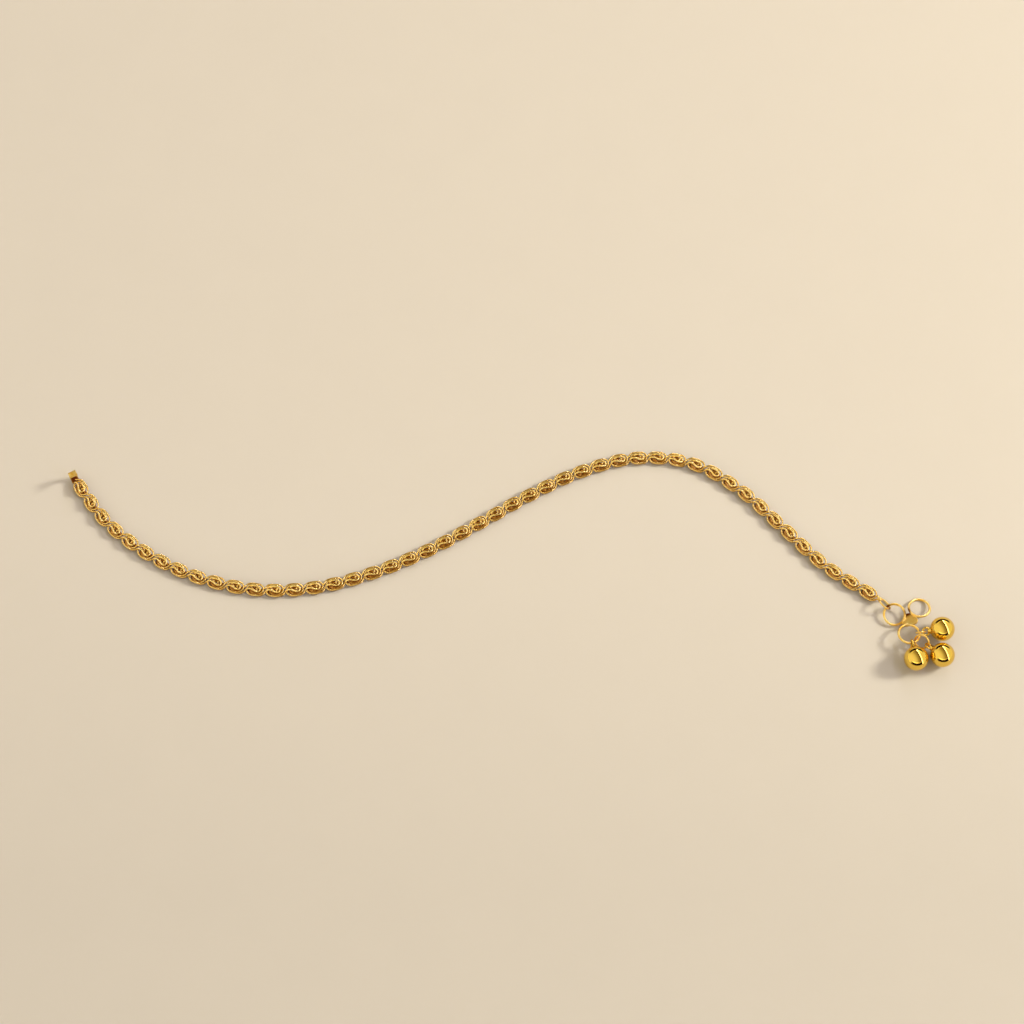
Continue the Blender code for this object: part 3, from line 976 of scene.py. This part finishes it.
def bell_object(bells, centre, eye, eye_normal):
    """Polished hollow ball with its eye at one pole and its slit at the other."""
    axis = (centre - eye).normalized()
    radius = bells.diameter / 2
    turn = turn_to(axis)
    bpy.ops.mesh.primitive_uv_sphere_add(
        segments=BALL_FINENESS[0], ring_count=BALL_FINENESS[1], radius=radius, location=centre,
        rotation=turn)
    shell = settle(bpy.context.object)
    bpy.ops.mesh.primitive_uv_sphere_add(
        segments=HOLLOW_FINENESS[0], ring_count=HOLLOW_FINENESS[1], radius=radius - bells.wall,
        location=centre, rotation=turn)
    hollow = settle(bpy.context.object)
    applied(shell, "BOOLEAN", operation="DIFFERENCE", solver="EXACT", object=hollow)
    level = UP.cross(axis).normalized()
    bpy.ops.mesh.primitive_cube_add(size=1.0)
    cutter = bpy.context.object
    cutter.matrix_world = (
        Matrix.Translation(centre + axis * radius)
        @ Matrix((axis.cross(level), level, axis)).transposed().to_4x4()
        @ Matrix.Diagonal((bells.slit_width, bells.slit_span, radius, 1.0))
    )
    settle(cutter)
    applied(shell, "BOOLEAN", operation="DIFFERENCE", solver="EXACT", object=cutter)
    remove(hollow)
    remove(cutter)
    pick(shell)
    bpy.ops.object.shade_smooth_by_angle(angle=SHARP_ANGLE)
    loop = torus(bells.eye_diameter, bells.eye_wire, eye, eye_normal, around=EYE_SIDES)
    rise = radius + bells.eye_wire * NECK_RISE
    bpy.ops.mesh.primitive_cone_add(
        vertices=NECK_SIDES, radius1=bells.eye_wire * NECK_FOOT, radius2=bells.eye_wire * NECK_TOP,
        depth=bells.eye_wire * NECK_LENGTH, location=centre - axis * rise, rotation=turn_to(-axis))
    neck = settle(bpy.context.object)
    fitting = joined(loop, neck)
    soldered(fitting, EYE_GRAIN, EYE_PASSES)
    return joined(shell, fitting)


class ANKLET_OT_stage(bpy.types.Operator):
    """Plain pale floor, soft lights and the camera"""

    bl_idname = "anklet.stage"
    bl_label = "Stage"

    def execute(self, context):
        stage = context.scene.anklet_stage
        bpy.ops.mesh.primitive_plane_add(size=FLOOR_SIZE, location=(0.0, 0.0, 0.0))
        floor = bpy.context.object
        floor.name = "floor"
        floor.data.materials.append(floor_material(stage.floor))
        aim = Vector(AIM)
        add_window_light(aim, stage)
        add_room_light(context.scene, stage)
        back = Vector((0.0, -math.cos(stage.camera_elevation), math.sin(stage.camera_elevation)))
        bpy.ops.object.camera_add(
            location=aim + back * stage.camera_distance,
            rotation=(math.pi / 2 - stage.camera_elevation, 0.0, 0.0))
        camera = bpy.context.object
        camera.name = "camera"
        camera.data.lens = CAMERA_LENS
        camera.data.sensor_width = CAMERA_SENSOR
        camera.data.clip_start = CAMERA_NEAR
        context.scene.camera = camera
        context.scene.view_settings.view_transform = "Standard"
        return {"FINISHED"}


def add_window_light(aim, stage):
    """Window light from the right that draws the soft shadows on the floor."""
    level = heading(stage.key_heading)
    way = level * math.cos(stage.key_elevation) + UP * math.sin(stage.key_elevation)
    turn = way.to_track_quat("Z", "Y").to_euler()
    bpy.ops.object.light_add(type="AREA", location=aim + way * WINDOW_DISTANCE, rotation=turn)
    light = bpy.context.object
    light.name = "window_light"
    light.visible_glossy = False
    light.data.shape = "RECTANGLE"
    light.data.size = WINDOW_WIDTH
    light.data.size_y = WINDOW_HEIGHT
    light.data.energy = stage.key_power
    light.data.color = WINDOW_COLOUR


def ramp_node(nodes, tones):
    """Colour ramp through these (position, tone) stops."""
    ramp = nodes.new("ShaderNodeValToRGB")
    stops = ramp.color_ramp.elements
    for _ in range(len(tones) - len(stops)):
        stops.new(1.0)
    for stop, (position, tone) in zip(stops, tones):
        stop.position = position
        stop.color = (*tone, 1.0)
    return ramp


def add_room_light(scene, stage):
    """Light of a room: a bright window arc on the right and a dim band along the horizon."""
    world = bpy.data.worlds.new("pale_room")
    scene.world = world
    world.use_nodes = True
    nodes = world.node_tree.nodes
    links = world.node_tree.links
    place = nodes.new("ShaderNodeTexCoord")
    split = nodes.new("ShaderNodeSeparateXYZ")
    links.new(place.outputs["Generated"], split.inputs["Vector"])

    window = nodes.new("ShaderNodeVectorMath")
    window.operation = "DOT_PRODUCT"
    window.inputs[1].default_value = WINDOW_AXIS
    links.new(place.outputs["Generated"], window.inputs[0])
    spread = nodes.new("ShaderNodeMapRange")
    spread.inputs["From Min"].default_value = -1.0
    links.new(window.outputs["Value"], spread.inputs["Value"])
    room = ramp_node(nodes, ROOM_TONES)
    links.new(spread.outputs["Result"], room.inputs["Fac"])

    horizon = ramp_node(nodes, HORIZON_TONES)
    links.new(split.outputs["Z"], horizon.inputs["Fac"])
    depth = nodes.new("ShaderNodeMath")
    depth.operation = "ABSOLUTE"
    links.new(split.outputs["Y"], depth.inputs[0])
    reach = nodes.new("ShaderNodeMapRange")
    reach.inputs["From Min"].default_value = HORIZON_START
    reach.inputs["From Max"].default_value = HORIZON_FULL
    links.new(depth.outputs["Value"], reach.inputs["Value"])
    tone = nodes.new("ShaderNodeMix")
    tone.data_type = "RGBA"
    tone.blend_type = "MULTIPLY"
    links.new(reach.outputs["Result"], tone.inputs["Factor"])
    links.new(room.outputs["Color"], tone.inputs["A"])
    links.new(horizon.outputs["Color"], tone.inputs["B"])

    background = nodes["Background"]
    links.new(tone.outputs["Result"], background.inputs["Color"])
    background.inputs["Strength"].default_value = stage.room


def floor_material(colour):
    """Pale matt surface with a faint cloudy tone, and painted shade that makes it a little darker towards
    the front.
    """
    material = bpy.data.materials.new("floor_paper")
    material.use_nodes = True
    nodes = material.node_tree.nodes
    links = material.node_tree.links
    shader = nodes["Principled BSDF"]
    shader.inputs["Roughness"].default_value = 0.85
    place = nodes.new("ShaderNodeTexCoord")
    clouds = nodes.new("ShaderNodeTexNoise")
    clouds.inputs["Scale"].default_value = FLOOR_CLOUD_SCALE
    clouds.inputs["Detail"].default_value = 5.0
    links.new(place.outputs["Object"], clouds.inputs["Vector"])
    tint = nodes.new("ShaderNodeMix")
    tint.data_type = "RGBA"
    tint.inputs["A"].default_value = (*[channel * FLOOR_CLOUD_TONE for channel in colour], 1.0)
    tint.inputs["B"].default_value = (*colour, 1.0)
    links.new(clouds.outputs["Fac"], tint.inputs["Factor"])
    # Painted shade: the light falling off towards the front
    split = nodes.new("ShaderNodeSeparateXYZ")
    links.new(place.outputs["Object"], split.inputs["Vector"])
    painted_falloff = nodes.new("ShaderNodeMapRange")
    painted_falloff.inputs["From Min"].default_value = FLOOR_FRONT_SHADE[0]
    painted_falloff.inputs["From Max"].default_value = FLOOR_MIDDLE_SHADE[0]
    painted_falloff.inputs["To Min"].default_value = FLOOR_FRONT_SHADE[1]
    painted_falloff.inputs["To Max"].default_value = FLOOR_MIDDLE_SHADE[1]
    links.new(split.outputs["Y"], painted_falloff.inputs["Value"])
    front = nodes.new("ShaderNodeVectorMath")
    front.operation = "SCALE"
    links.new(tint.outputs["Result"], front.inputs[0])
    links.new(painted_falloff.outputs["Result"], front.inputs["Scale"])
    links.new(front.outputs["Vector"], shader.inputs["Base Color"])
    return material


class ANKLET_PT_panel(bpy.types.Panel):
    """Buttons and sizes of the anklet"""

    bl_idname = "ANKLET_PT_panel"
    bl_label = "Chain anklet"
    bl_space_type = "VIEW_3D"
    bl_region_type = "UI"
    bl_category = "Anklet"

    def draw(self, context):
        for operator in OPERATORS:
            self.layout.operator(operator.bl_idname)
        for name in SETTINGS:
            box = self.layout.box()
            group = getattr(context.scene, name)
            for field in group.__annotations__:
                box.prop(group, field)


SETTINGS = {
    "anklet_chain": ChainSettings,
    "anklet_hook": HookSettings,
    "anklet_rings": RingSettings,
    "anklet_bells": BellSettings,
    "anklet_gold": GoldSettings,
    "anklet_stage": StageSettings,
}
OPERATORS = (
    ANKLET_OT_chain,
    ANKLET_OT_hook,
    ANKLET_OT_end_ring,
    ANKLET_OT_size_rings,
    ANKLET_OT_jump_rings,
    ANKLET_OT_bells,
    ANKLET_OT_stage,
)


def register():
    """Register the settings, the operators and the panel."""
    for settings in SETTINGS.values():
        bpy.utils.register_class(settings)
    for operator in OPERATORS:
        bpy.utils.register_class(operator)
    bpy.utils.register_class(ANKLET_PT_panel)
    for name, settings in SETTINGS.items():
        setattr(bpy.types.Scene, name, bpy.props.PointerProperty(type=settings))


def unregister():
    """Take everything that register added away again."""
    for name in SETTINGS:
        delattr(bpy.types.Scene, name)
    bpy.utils.unregister_class(ANKLET_PT_panel)
    for operator in reversed(OPERATORS):
        bpy.utils.unregister_class(operator)
    for settings in reversed(list(SETTINGS.values())):
        bpy.utils.unregister_class(settings)


def main():
    """Build the anklet and its stage."""
    register()
    clear_selection()
    bpy.ops.anklet.chain()
    bpy.ops.anklet.hook()
    bpy.ops.anklet.end_ring()
    bpy.ops.anklet.size_rings()
    bpy.ops.anklet.jump_rings()
    bpy.ops.anklet.bells()
    bpy.ops.anklet.stage()


if __name__ == "__main__":
    main()
